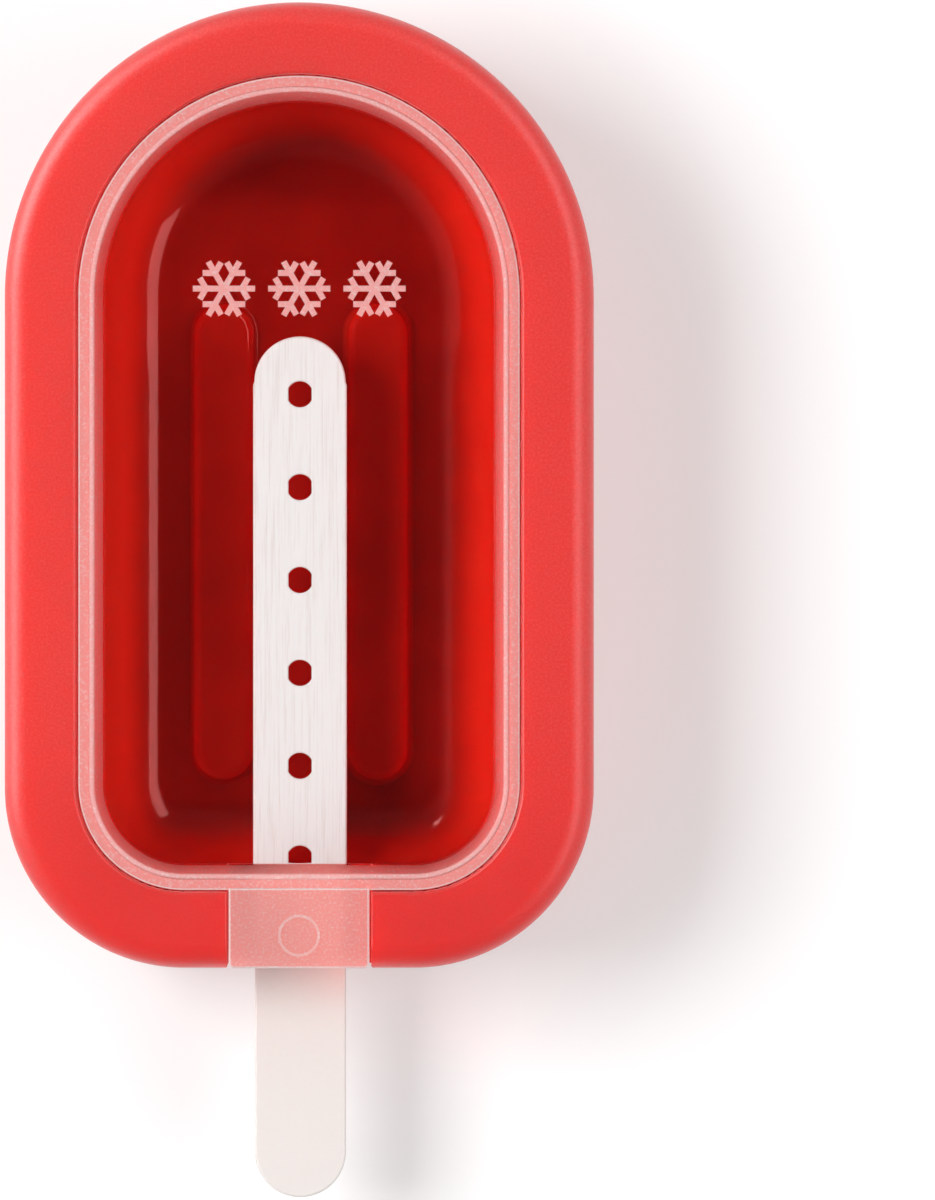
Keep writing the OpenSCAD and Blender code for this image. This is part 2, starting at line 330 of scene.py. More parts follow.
def shaded(obj, limit):          # smooth shading apart from sharp edges
    obj.data.set_sharp_from_angle(angle=radians(limit))
    for face in obj.data.polygons:
        face.use_smooth = True
    weigh = obj.modifiers.new("weigh", "WEIGHTED_NORMAL")
    weigh.keep_sharp = True
    return applied(obj, obj.name)


def placed(obj, name, bodyName, node):     # the finished piece takes its place in the frame
    obj.name = name
    obj.data.name = name
    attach(obj, bodyName)
    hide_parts(node)
    print(name, "made,", len(obj.data.polygons), "faces")
    return obj


# Mold body: one silicone moulding, a cup hung inside a skirt from a wide flat rim

body = {"halfWidth": bodyHigh.x, "height": bodyHigh.z, "cornerRadius": 22, "topEdge": 3, "draft": 0.8, "skirt": 3,
        "footEdge": 0.8, "rim": 4.5, "rimFillet": 2, "rimWidth": 9, "frontRim": 9.5, "seatEdge": 0.4, "cutEdge": 0.25,
        "crease": 40}
cup = {"wall": 2.8, "lift": 3.2, "fillet": 10, "draft": 5, "edgeIn": 1.1227}
ridge = {"width": 7.5, "height": 2, "length": 58.8, "x": 9.5, "gap": 13.2, "edge": 1.2, "foot": 0.6}
fits = {"side": 0.2, "seat": 0.15, "stick": 0.2}

# the lid's sizes stand here because the body's seat and notch are made to them
lid = {"drop": 0.5, "thickness": 1.4, "flange": 1.7, "bead": 0.36, "slope": 1.45, "paneDrop": 2.2, "slopeThick": 1.3,
       "tabWidth": 17.2, "tabCorner": 0.7, "tabLap": 1.6, "tabEdge": 0.35, "easeInside": 0.4, "easeOutside": 0.25,
       "tabInset": 0.05, "tabDrop": 0.3, "tabFoot": 0.2, "ring": 4.8, "ringLine": 0.36, "ringY": 4, "relief": 0.15,
       "sunk": 0.1, "crystals": 3, "crystal": 7.6, "crystalY": 1, "crystalPitch": 9.2, "crystalLine": 0.72,
       "barbAt": 2.2, "barb": 1.5, "foldAngle": 50, "crease": 35}

archY = bodyHigh.y - body["halfWidth"]
frontY = bodyLow.y
lidHalf = body["halfWidth"] - body["rimWidth"]
lidCorner = body["cornerRadius"] - body["rimWidth"]
lidFront = frontY + body["frontRim"]
archEnd = bodyHigh.y - body["rimWidth"]
lidTop = body["height"] - lid["drop"]
seatZ = lidTop - lid["thickness"] - fits["seat"]
paneZ = lidTop - lid["paneDrop"]
floorZ = cup["lift"] + cup["wall"]
notchZ = stickHigh.z
lean = radians(cup["draft"])
filletZ = floorZ + cup["fillet"]
filletIn = cup["edgeIn"] + (seatZ - filletZ) * tan(lean) + cup["fillet"] / cos(lean) + body["rimWidth"]


# Silicone, matte outside and polished in the cavity

def newMaterial(name):
    material = bpy.data.materials.new(name)
    material.use_nodes = True
    material.node_tree.nodes.clear()
    return material, material.node_tree


def siliconeMaterial(name, finish):
    # platinum-cured silicone, moulded: deep even red that glows where light comes in through thin walls, a glow that
    # is partly real scattering and partly painted light; a fine spark-eroded grain outside and a polished skin where
    # the ice lets go
    material, tree = newMaterial(name)
    place = addNode(tree, "ShaderNodeTexCoord").outputs["Object"]
    clouds = addNode(tree, "ShaderNodeTexNoise", {"Vector": place, "Scale": 1 / (finish["cloudSize"] * mm),
                                                  "Detail": 2.0}).outputs["Fac"]
    # painted light and shade: faces that lean sideways, as up the cavity walls, take more of the pale red, and flat
    # faces, as the cavity floor, keep more of the deep red
    facing = addNode(tree, "ShaderNodeNewGeometry").outputs["Normal"]
    sideways = addNode(tree, "ShaderNodeVectorMath", {0: facing, 1: (1, 1, 0)}, operation="MULTIPLY").outputs[0]
    tilt = addNode(tree, "ShaderNodeVectorMath", {0: sideways}, operation="LENGTH").outputs["Value"]
    level = addNode(tree, "ShaderNodeMapRange", {
        "Value": tilt, "From Min": finish["flatUpTo"], "To Min": finish["paintedLightFlat"], "To Max": finish["paintedLightSteep"]},
        interpolation_type=finish["blend"]).outputs[0]
    y = addNode(tree, "ShaderNodeSeparateXYZ", {0: place}).outputs["Y"]
    # painted shade: the colour darkens towards the front and towards the back end
    front, back = (addNode(tree, "ShaderNodeMapRange", {
        "Value": y, "From Min": light * mm, "From Max": dark * mm, "To Min": 0.0, "To Max": -shade}).outputs[0]
        for light, dark, shade in (finish["frontPaintedShade"], finish["backPaintedShade"]))
    x = addNode(tree, "ShaderNodeSeparateXYZ", {0: place}).outputs["X"]
    # painted light from the left: paler towards the left, deeper towards the right
    paintedLightLeft = addNode(tree, "ShaderNodeMapRange", {
        "Value": x, "From Min": -lidHalf * mm, "From Max": lidHalf * mm, "To Min": finish["leftPaintedLight"],
        "To Max": -finish["leftPaintedLight"]}).outputs[0]
    mottle = addNode(tree, "ShaderNodeMapRange", {"Value": clouds, "To Min": -finish["mottle"],
                                                  "To Max": finish["mottle"]}).outputs[0]
    share = level
    for part in (mottle, paintedLightLeft, back):
        share = addNode(tree, "ShaderNodeMath", {0: share, 1: part}, operation="ADD").outputs[0]
    share = addNode(tree, "ShaderNodeMath", {0: share, 1: front}, operation="ADD", use_clamp=True).outputs[0]
    # the pale red is the painted lit colour and the deep red the painted shaded one; apart from the random mottle,
    # the share between them is painted light and shade
    plain = addNode(tree, "ShaderNodeMix", {"Factor": share, "A": linear(finish["deep"]),
                                            "B": linear(finish["pale"])}, data_type="RGBA").outputs["Result"]
    grain = addNode(tree, "ShaderNodeTexNoise", {"Vector": place, "Scale": 1 / (finish["grainSize"] * mm),
                                                 "Detail": 3.0, "Roughness": 0.7}).outputs["Fac"]
    # the pale flecks fade out into the painted shade at the front
    fleckShare = addNode(tree, "ShaderNodeMath", {0: front, 1: finish["fleckFade"], 2: finish["fleck"]},
                         operation="MULTIPLY_ADD").outputs[0]
    fleck = addNode(tree, "ShaderNodeMapRange", {
        "Value": grain, "From Min": finish["fleckFrom"], "From Max": finish["fleckTo"],
        "To Max": fleckShare}).outputs[0]
    colour = addNode(tree, "ShaderNodeMix", {"Factor": fleck, "A": plain, "B": linear(finish["fleckColour"])},
                     data_type="RGBA").outputs["Result"]
    bump = addNode(tree, "ShaderNodeBump", {"Height": grain, "Strength": finish["grainStrength"],
                                            "Distance": finish["grainDepth"] * mm}).outputs["Normal"]
    surface = addNode(tree, "ShaderNodeBsdfPrincipled", {
        "Base Color": colour, "Roughness": finish["roughness"], "IOR": 1.41, "Normal": bump,
        "Subsurface Weight": finish["glow"], "Subsurface Scale": finish["glowReach"] * mm,
        "Subsurface Radius": finish["glowColour"], "Specular IOR Level": finish["gloss"],
        "Specular Tint": linear(finish["glossTint"]), "Sheen Weight": finish["sheen"], "Sheen Roughness": 0.5,
    }).outputs[0]
    addNode(tree, "ShaderNodeOutputMaterial", {"Surface": surface})
    return material


# a painted shade is (y where it begins, y where it is full, how far it goes from pale to deep)
siliconeShared = {"cloudSize": 14, "mottle": 0.2, "fleckFrom": 0.42, "fleckTo": 0.75, "fleckColour": "#ff8b80",
                  "glow": 1, "glowColour": (1, 0.06, 0.04)}
siliconeGrain = {        # fine matte outside, as a powdery skin, with painted shade towards the front and painted light on the left and on steep faces
    **siliconeShared, "deep": "#dc1f1b", "pale": "#ef332d", "paintedLightFlat": 0.5, "paintedLightSteep": 0.7, "flatUpTo": 0,
    "blend": "LINEAR", "frontPaintedShade": (frontY + 30, frontY, 0.52), "backPaintedShade": (archEnd - 1, archEnd, 0),
    "leftPaintedLight": 0.1, "grainSize": 0.3, "grainStrength": 0.6, "grainDepth": 0.05, "fleck": 0.22, "fleckFade": 0.4,
    "roughness": 0.46, "gloss": 0.7, "glossTint": "#ffffff", "glowReach": 8, "sheen": 0.28}
siliconePolish = {       # mirror-like skin of the cavity, with painted shade on the floor and at both ends and painted light up the walls
    **siliconeShared, "deep": "#900905", "pale": "#ff2a1b", "paintedLightFlat": 0.12, "paintedLightSteep": 1.1, "flatUpTo": 0.22,
    "blend": "SMOOTHSTEP", "frontPaintedShade": (lidFront + 11, lidFront + 1, 0.7),
    "backPaintedShade": (archEnd - 16, archEnd - 4, 0.45), "leftPaintedLight": 0.2, "grainSize": 4, "grainStrength": 0.2,
    "grainDepth": 0.03, "fleck": 0, "fleckFade": 0, "roughness": 0.07, "gloss": 0.5, "glossTint": "#ff9c98",
    "glowReach": 4, "sheen": 0}
siliconeRidge = {**siliconePolish, "leftPaintedLight": 0, "paintedLightFlat": 0.25, "paintedLightSteep": 0.4}       # the floor's two ridges

siliconeMatte = siliconeMaterial("siliconeMatte", siliconeGrain)
siliconePolished = siliconeMaterial("siliconePolished", siliconePolish)
siliconePolishedRidge = siliconeMaterial("siliconePolishedRidge", siliconeRidge)
print("silicone made")


def wallIn(radius, height):      # depth of the cup's leaning wall, inside or outside, at a height
    return filletIn - radius / cos(lean) - (height - filletZ) * tan(lean)


def bodyOutlines():
    outer = archRing("bodyOutline", body["halfWidth"], archY, frontY, body["cornerRadius"])
    shift = body["frontRim"] - body["rimWidth"]          # the cavity stands this much further from the front
    inner = archRing("cavityOutline", body["halfWidth"], archY, frontY + shift, body["cornerRadius"])
    return outer, inner


def cavitySection():
    floor = arc((filletIn, filletZ), cup["fillet"], -90, -180 + cup["draft"], 32)
    wallSteps = 6
    wall = [seatZ + (filletZ - seatZ) * (1 - i / wallSteps) for i in range(1, wallSteps + 1)]
    seatIn = body["rimWidth"] - fits["side"]
    return ([(d, 1, z) for d, z in floor] + [(wallIn(cup["fillet"], z), 1, z) for z in wall] + [(seatIn, 1, seatZ)])


def outsideSection():
    high, edge, skirt, foot = body["height"], body["topEdge"], body["skirt"], body["footEdge"]
    seatIn = body["rimWidth"] - fits["side"]
    skin = cup["fillet"] + cup["wall"]
    underRim = high - body["rim"]
    seat = [(seatIn, seatZ)] + arc((seatIn - body["seatEdge"], high - body["seatEdge"]), body["seatEdge"], 0, 90, 6)
    shell = arc((edge, high - edge), edge, 90, 180, 16)
    shell += arc((body["draft"] + foot, foot), foot, 180, 270, 6)
    shell += [(body["draft"] + skirt, 0)]
    shell += arc((skirt + body["rimFillet"], underRim - body["rimFillet"]), body["rimFillet"], 180, 90, 10)
    under = [(wallIn(skin, underRim), underRim)]
    under += arc((filletIn, filletZ), skin, -180 + cup["draft"], -90, 24)
    return [(d, 1, z) for d, z in seat] + [(d, 0, z) for d, z in shell] + [(d, 1, z) for d, z in under]


def ridgeRings(x):               # rounded top, filleted foot, open above and below
    half = ridge["width"] / 2 + ridge["foot"]
    front = lidFront + ridge["gap"] - ridge["foot"]
    back = front + ridge["length"] + 2 * ridge["foot"]
    outline = archRing("ridgeOutline", half, back - half, front, half, x)
    foot = arc((0, floorZ + ridge["foot"]), ridge["foot"], -90, 0, 8)
    top = arc((ridge["foot"] + ridge["edge"], floorZ + ridge["height"] - ridge["edge"]), ridge["edge"], 180, 90, 8)
    rings = swept("ridge", outline, [(d, 0, z) for d, z in foot + top], siliconePolishedRidge)
    removeObjects(outline)
    return rings


def moldBody():
    outer, inner = bodyOutlines()
    cavity = swept("cavity", outer, cavitySection(), siliconePolished, inner)
    outside = swept("outside", outer, outsideSection(), siliconeMatte, inner)
    removeObjects(outer, inner)
    shell = joined("moldBody", cavity, outside, ridgeRings(-ridge["x"]), ridgeRings(ridge["x"]))
    capped(shell, [(floorZ, siliconePolished), (floorZ + ridge["height"], siliconePolishedRidge),
                   (cup["lift"], siliconeMatte)])
    notch = lid["tabWidth"] / 2 + fits["side"]
    slot = stickHigh.x + fits["stick"]
    slotZ = stickLow.z - fits["seat"]
    blockHalf = notch + cup["wall"]
    cutTo = lidFront + lidCorner
    walls = block("frontBlock", (-blockHalf, frontY + body["skirt"] / 2, slotZ - cup["wall"]),
                  (blockHalf, lidFront + cup["edgeIn"], body["height"] - body["rim"] / 2), siliconeMatte)
    shell = combine(shell, walls, "UNION")
    for name, side, low in (("notch", notch, notchZ), ("slot", slot, slotZ)):
        cut = block(name, (-side, frontY - past, low), (side, cutTo, body["height"] + past), siliconeMatte)
        shell = combine(shell, cut, "DIFFERENCE")
    shell = shaded(rounded(shell, body["cutEdge"], body["crease"]), body["crease"])
    return placed(shell, "moldBody", "body", "mold_body")


mold = moldBody()


# Lid: one clear moulding, with a frosted flange, slope and tab

def lidMaterial(name, finish):
    # SAN plastic, injection moulded: water clear where the tool was polished, milky where it was blasted
    material, tree = newMaterial(name)
    place = addNode(tree, "ShaderNodeTexCoord").outputs["Object"]
    speck = addNode(tree, "ShaderNodeTexNoise", {"Vector": place, "Scale": 1 / (finish["speckSize"] * mm),
                                                 "Detail": 2.0, "Roughness": 0.6}).outputs["Fac"]
    bump = addNode(tree, "ShaderNodeBump", {"Height": speck, "Strength": finish["speckStrength"],
                                            "Distance": finish["speckDepth"] * mm}).outputs["Normal"]
    z = addNode(tree, "ShaderNodeSeparateXYZ", {0: place}).outputs["Z"]
    low, high = finish["levels"][0][0], finish["levels"][-1][0]
    share = addNode(tree, "ShaderNodeMapRange", {"Value": z, "From Min": low * mm, "From Max": high * mm}).outputs[0]
    ramp = addNode(tree, "ShaderNodeValToRGB", {"Fac": share})
    stops = ramp.color_ramp.elements
    for height, clear, white in finish["levels"][1:-1]:
        stops.new((height - low) / (high - low))
    for stop, (height, clear, white) in zip(stops, finish["levels"]):
        stop.color = (clear, white, 0, 1)
    clear, white = addNode(tree, "ShaderNodeSeparateColor", {0: ramp.outputs[0]}).outputs[:2]
    pits = addNode(tree, "ShaderNodeMapRange", {
        "Value": speck, "From Min": finish["speckFrom"], "From Max": finish["speckTo"],
        "To Max": finish["speckShade"]}).outputs[0]
    white = addNode(tree, "ShaderNodeMath", {0: white, 1: pits}, operation="ADD", use_clamp=True).outputs[0]
    # the whiteness, apart from the pale specks, is painted highlight, and the pink it whitens is painted red light
    colour = addNode(tree, "ShaderNodeMix", {"Factor": white, "A": linear(finish["colour"]),
                                             "B": linear(finish["whiteColour"])}, data_type="RGBA").outputs["Result"]
    surface = addNode(tree, "ShaderNodeBsdfPrincipled", {
        "Base Color": colour, "Roughness": finish["roughness"], "IOR": 1.49, "Normal": bump,
        "Transmission Weight": clear}).outputs[0]
    lamp = addNode(tree, "ShaderNodeBsdfTransparent", {"Color": linear(finish["lampColour"])}).outputs[0]
    path = addNode(tree, "ShaderNodeLightPath").outputs
    soft = addNode(tree, "ShaderNodeMath", {0: path["Is Shadow Ray"], 1: path["Is Diffuse Ray"]},
                   operation="MAXIMUM").outputs[0]
    soft = addNode(tree, "ShaderNodeMath", {0: soft, 1: path["Is Glossy Ray"]}, operation="MAXIMUM").outputs[0]
    mixed = addNode(tree, "ShaderNodeMixShader", {0: soft, 1: surface, 2: lamp}).outputs[0]
    addNode(tree, "ShaderNodeOutputMaterial", {"Surface": mixed})
    return material


# levels are (height, share of light let through, whiteness): more light goes through towards the slope's foot, and
# the whiteness along the bead and the top edges is painted highlight
lidClearFinish = {"colour": "#fffefe", "whiteColour": "#fffefe", "lampColour": "#ffffff", "roughness": 0.02,
                  "speckSize": 3, "speckStrength": 0.02, "speckDepth": 0.01, "speckShade": 0, "speckFrom": 0.5,
                  "speckTo": 0.7, "levels": [(0, 1, 0), (paneZ, 1, 0)]}
# the frost's pink colour is painted red light, standing for the silicone seen and glowing through it
lidFrostFinish = {"colour": "#ffa29d", "whiteColour": "#fff6f4", "lampColour": "#fff4f3", "roughness": 0.4,
                  "speckSize": 0.3, "speckStrength": 0.6, "speckDepth": 0.05, "speckShade": 0.4, "speckFrom": 0.5,
                  "speckTo": 0.7}
top, edge = body["height"], lid["tabEdge"]
lidSlopeFinish = {**lidFrostFinish, "levels": [
    # the white band just under the flange's top edge and the white on the bead are painted highlights
    (paneZ, 0.92, 0), (paneZ + 0.4, 0.82, 0), (paneZ + 0.9, 0.74, 0), (lidTop - 0.5, 0.6, 0), (lidTop - 0.14, 0.5, 0),
    (lidTop - 0.07, 0.34, 0), (lidTop - 0.06, 0.3, 0.9), (lidTop - 0.006, 0.3, 0.9), (lidTop - 0.003, 0.3, 0),
    (lidTop + 0.05, 0.3, 0), (lidTop + 0.14, 0.3, 0.25), (lidTop + lid["bead"], 0.3, 0.3)]}
# the tab's pink is painted red light from the silicone round it in the same way
lidTabFinish = {**lidFrostFinish, "colour": "#ffa7a1", "lampColour": "#ffe0dd", "levels": [
    # the white along the tab's rounded top edge is a painted highlight
    (top - 2 * edge, 0.4, 0.05), (top - edge, 0.3, 0.75), (top - 0.03, 0.3, 0.75), (top - 0.01, 0.4, 0),
    (top + 0.02, 0.4, 0), (top + lid["relief"] / 2, 0.4, 0.4)]}
lidReliefFinish = {**lidFrostFinish, "levels": [(0, 0.3, 0.2), (top, 0.3, 0.2)]}
lidClear = lidMaterial("lidClearSan", lidClearFinish)
lidFrosted = lidMaterial("lidFrostedSlopeSan", lidSlopeFinish)
lidTabFrosted = lidMaterial("lidFrostedTabSan", lidTabFinish)
lidReliefFrosted = lidMaterial("lidFrostedReliefSan", lidReliefFinish)


def lidSection():                # from the pane's top round the edge to its underside, depth from the lid's outline
    slopeTurn = degrees(atan(lid["paneDrop"] / lid["slope"]))
    paneIn = lid["flange"] + lid["slope"]
    underside = lidTop - lid["thickness"]
    footZ = paneZ - lid["thickness"]
    plugIn = lid["flange"] + lid["thickness"] * lid["slope"] / lid["paneDrop"] - lid["slopeThick"]
    footIn = plugIn + lid["slope"]
    easeIn, easeOut = lid["easeInside"], lid["easeOutside"]
    turn = tan(radians(slopeTurn / 2))
    pane = arc((paneIn + easeIn * turn, paneZ + easeIn), easeIn, -90, -90 - slopeTurn, 6)
    frosted = arc((lid["flange"], lidTop), lid["bead"], -slopeTurn, 180, 12)
    frosted += arc((easeOut, lidTop - easeOut), easeOut, 90, 180, 5)
    frosted += arc((easeOut, underside + easeOut), easeOut, 180, 270, 5)
    frosted += [(plugIn, underside)]
    frosted += arc((footIn + easeOut * turn, footZ + easeOut), easeOut, -90 - slopeTurn, -90, 5)
    return [(d, 0, z) for d, z in pane], [(d, 0, z) for d, z in [pane[-1]] + frosted]


def tabSolid(low):               # seen from above it has two rounded front corners, and its top edge is rounded
    half, turn, back = lid["tabWidth"] / 2, lid["tabCorner"], lidFront + lid["easeOutside"] + lid["tabInset"]
    cornerX, cornerY = half - turn, frontY + turn
    corners = arc((-cornerX, cornerY), turn, 180, 270, 8) + arc((cornerX, cornerY), turn, 270, 360, 8)
    outline = cornerRing("tabOutline", corners + [(half, back), (-half, back)])
    side = swept("tab", outline, edgeSection(low, body["height"], lid["tabEdge"], 0), lidTabFrosted)
    removeObjects(outline)
    tab = joined("tab", side)
    capped(tab, [(body["height"], lidTabFrosted), (low, lidTabFrosted)])
    return tab


def prism(name, outline, low, high, finish):
    count = len(outline)
    points = [(x, y, low) for x, y in outline] + [(x, y, high) for x, y in outline]
    sides = [(i, (i + 1) % count, (i + 1) % count + count, i + count) for i in range(count)]
    obj = meshObject(name, points, sides + [tuple(range(count - 1, -1, -1)), tuple(range(count, 2 * count))])
    obj.data.materials.append(finish)
    return obj


def crystals():                  # plain six-armed ice crystals across the arch of the pane
    line, barbAt, barb = lid["crystalLine"] / 2, lid["barbAt"], lid["barb"]
    pieces = []
    for start, turn, length in ((0, 0, lid["crystal"] / 2), (barbAt, 60, barb), (barbAt, -60, barb)):
        along = Vector((cos(radians(turn)), sin(radians(turn))))
        across = Vector((-along.y, along.x))
        base = Vector((start, 0))
        corners = [base - across * line, base + along * length - across * line,
                   base + along * length + across * line, base + across * line]
        pieces.append(prism("arm", corners, -lid["sunk"], lid["relief"], lidReliefFrosted))
    arm, pitch, count = joined("arm", *pieces, merge=0), lid["crystalPitch"], lid["crystals"]
    first = (-pitch * (count - 1) / 2, archY + lid["crystalY"], paneZ)
    return repeated("crystals", arm, 6, count, first, (pitch, 0, 0), lidReliefFrosted)


def tabRing():
    centreY, top = frontY + lid["ringY"], body["height"]
    outer, inner = ((lid["ring"] + side * lid["ringLine"]) / 2 for side in (1, -1))
    ring, hole = (prism("ring", arc((0, centreY), radius, 0, 360, 64)[:-1], top - low, top + high, lidTabFrosted)
                  for radius, low, high in ((outer, lid["sunk"], lid["relief"]), (inner, overlap, overlap)))
    return combine(ring, hole, "DIFFERENCE")


def clearLid():
    outline = archRing("lidOutline", lidHalf, archY, lidFront, lidCorner)
    pane, frosted = lidSection()
    shell = joined("lid", swept("paneEdge", outline, pane, lidClear), swept("lidEdge", outline, frosted, lidFrosted))
    removeObjects(outline)
    capped(shell, [(paneZ, lidClear), (paneZ - lid["thickness"], lidClear)])
    half, wall, tabLow = lid["tabWidth"] / 2, lid["thickness"], notchZ + fits["seat"]
    back = lidFront + lid["tabLap"]
    shell = combine(shell, tabSolid(tabLow), "UNION")
    tabBack = block("tabBack", (-half, lidFront - overlap, tabLow), (half, back, lidTop - lid["tabDrop"]),
                    lidTabFrosted)
    shell = combine(shell, tabBack, "UNION")
    shell = combine(shell, block("tabHollow", (-half + wall, frontY + wall, tabLow - overlap),
                                 (half - wall, back - wall, body["height"] - wall), lidTabFrosted), "DIFFERENCE")

    def onFoot(middle):          # round the tab's foot on the outside, not round its hollow
        outside = abs(middle.x) > half - wall / 2 or not frontY + wall / 2 < middle.y < back - wall / 2
        return abs(middle.z - tabLow) < near and outside

    shell = rounded(shell, lid["tabFoot"], lid["foldAngle"], onFoot)
    shell = combine(shell, tabRing(), "UNION")
    shell = combine(shell, crystals(), "UNION", True)
    placed(shaded(shell, lid["crease"]), "clearLid", "lid", "lid")


clearLid()


# Stick: flat white plastic, perforated where the ice locks in

def stickMaterial(name, finish):
    # white ABS: a brushed blade whose lines run along it, and a softly pebbled handle
    material, tree = newMaterial(name)
    place = addNode(tree, "ShaderNodeTexCoord").outputs["Object"]
    along = addNode(tree, "ShaderNodeMapping", {"Vector": place, "Scale": (1, finish["lineStretch"], 1)}).outputs[0]
    lines = addNode(tree, "ShaderNodeTexNoise", {"Vector": along, "Scale": 1 / (finish["lineWidth"] * mm),
                                                 "Detail": 4.0, "Roughness": 0.75}).outputs["Fac"]
    pebbles = addNode(tree, "ShaderNodeTexNoise", {"Vector": place, "Scale": 1 / (finish["pebbleSize"] * mm),
                                                   "Detail": 2.0, "Roughness": 0.5}).outputs["Fac"]
    y = addNode(tree, "ShaderNodeSeparateXYZ", {0: place}).outputs["Y"]
    isBlade = addNode(tree, "ShaderNodeMapRange", {
        "Value": y, "From Min": finish["bladeFrom"] * mm,
        "From Max": (finish["bladeFrom"] + finish["blend"]) * mm}).outputs[0]
    height = addNode(tree, "ShaderNodeMix", {"Factor": isBlade, "A": pebbles, "B": lines}).outputs["Result"]
    depth = addNode(tree, "ShaderNodeMix", {"Factor": isBlade, "A": finish["pebbleDepth"] * mm,
                                            "B": finish["lineDepth"] * mm}).outputs["Result"]
    bump = addNode(tree, "ShaderNodeBump", {"Height": height, "Strength": 0.7, "Distance": depth}).outputs["Normal"]
    dark = addNode(tree, "ShaderNodeMapRange", {"Value": lines, "From Min": 0.3, "From Max": 0.5}).outputs[0]
    tint = addNode(tree, "ShaderNodeMix", {"Factor": dark, "A": linear(finish["lineColour"]),
                                           "B": linear(finish["bladeColour"])}, data_type="RGBA").outputs["Result"]
    colour = addNode(tree, "ShaderNodeMix", {"Factor": isBlade, "A": linear(finish["colour"]), "B": tint},
                     data_type="RGBA").outputs["Result"]
    surface = addNode(tree, "ShaderNodeBsdfPrincipled", {
        "Base Color": colour, "Roughness": finish["roughness"], "IOR": 1.53, "Normal": bump,
        "Subsurface Weight": finish["glow"], "Subsurface Scale": finish["glowReach"] * mm,
        "Subsurface Radius": (1, 0.9, 0.8)}).outputs[0]
    addNode(tree, "ShaderNodeOutputMaterial", {"Surface": surface})
    return material


stick = {"bladeWidth": 11.5, "blade": 72.5, "handleWidth": 11.2, "holes": 6, "holePitch": 11.4, "firstHole": 7.1,
         "holeLength": 3.2, "holeWidth": 2.85, "edge": 0.35, "holeEdge": 0.2, "taper": 0.3, "crease": 40}
stickFinish = {"colour": "#ebe4e0", "bladeColour": "#eceeed", "lineColour": "#dedad6", "lineWidth": 0.22,
               "lineStretch": 0.02, "lineDepth": 0.05, "pebbleSize": 0.7, "pebbleDepth": 0.12, "roughness": 0.42,
               "glow": 0.15, "glowReach": 1, "bladeFrom": stickHigh.y - stick["blade"] - 0.5, "blend": 1}
stickWhite = stickMaterial("stickWhiteAbs", stickFinish)


def stickOutline():              # the blade stands a little proud of the handle and of its own tip
    end, blade, taper = stick["handleWidth"] / 2, stick["bladeWidth"] / 2, stick["taper"]
    tip, foot = stickHigh.y, stickLow.y
    shoulder, bladeTop = tip - stick["blade"], tip - end
    right = arc((0, foot + end), end, -90, 0, 32) + [(end, shoulder - taper), (blade, shoulder)]
    right += [(blade, bladeTop - taper)] + arc((0, bladeTop), end, 0, 90, 32)
    return cornerRing("stickOutline", right + [(-x, y) for x, y in reversed(right[1:-1])])


def holeOutline():               # a round hole with a flat on each side, clockwise
    radius, flat = stick["holeLength"] / 2, stick["holeWidth"] / 2
    side = degrees(atan(flat / (radius ** 2 - flat ** 2) ** 0.5))
    end = arc((0, 0), radius, 90 + side, 90 - side, 24)
    return cornerRing("holeOutline", end + [(-x, -y) for x, y in end])


def perforatedStick():
    outline, hole = stickOutline(), holeOutline()
    low, high = stickLow.z, stickHigh.z
    side = swept("stickSide", outline, edgeSection(low, high, stick["edge"], stick["edge"]), stickWhite)
    rim = swept("holeRim", hole, edgeSection(low, high, stick["holeEdge"], stick["holeEdge"]), stickWhite)
    removeObjects(outline, hole)
    first = (0, stickHigh.y - stick["firstHole"], 0)
    rims = repeated("holeRims", rim, 1, stick["holes"], first, (0, -stick["holePitch"], 0), stickWhite)
    bar = joined("perforatedStick", side, rims)
    capped(bar, [(high, stickWhite), (low, stickWhite)])
    return placed(shaded(bar, stick["crease"]), "perforatedStick", "stick", "stick")


whiteStick = perforatedStick()


# Floor, light and camera

studio = {"aim": (0, 0, 0.03), "floorSize": 2.4, "floorColour": "#dcdcdc", "floorGlow": 0.31, "sky": 0.85,
          "zenith": 0.07, "sides": 1.35, "ends": 0.3, "paleUpTo": 0.72, "darkFrom": 0.9, "mirroredLeft": 1.2,
          "mirroredRight": 0.2}
view = {"x": 0.02056, "y": 0.0002, "above": 1.8, "lens": 442.6, "sensor": 36, "far": 20}
lights = {               # place, size across and up, power, and whether it is seen only in reflections
    "key": ((-0.6, 0.14, 0.88), (0.55, 0.45), 8.0, False),
    "fill": ((1.2, -0.2, 1.35), (1.6, 1.0), 9.2, False),
    "tallBox": ((1.15, 0.27, 1.3), (2.3, 0.5), 24, True),
    "backBox": ((-1.1, 0.9, 0.85), (1.4, 0.14), 15, True),
    "leftBox": ((-1.6, 0.6, 0.5), (1.6, 0.4), 38, True)}


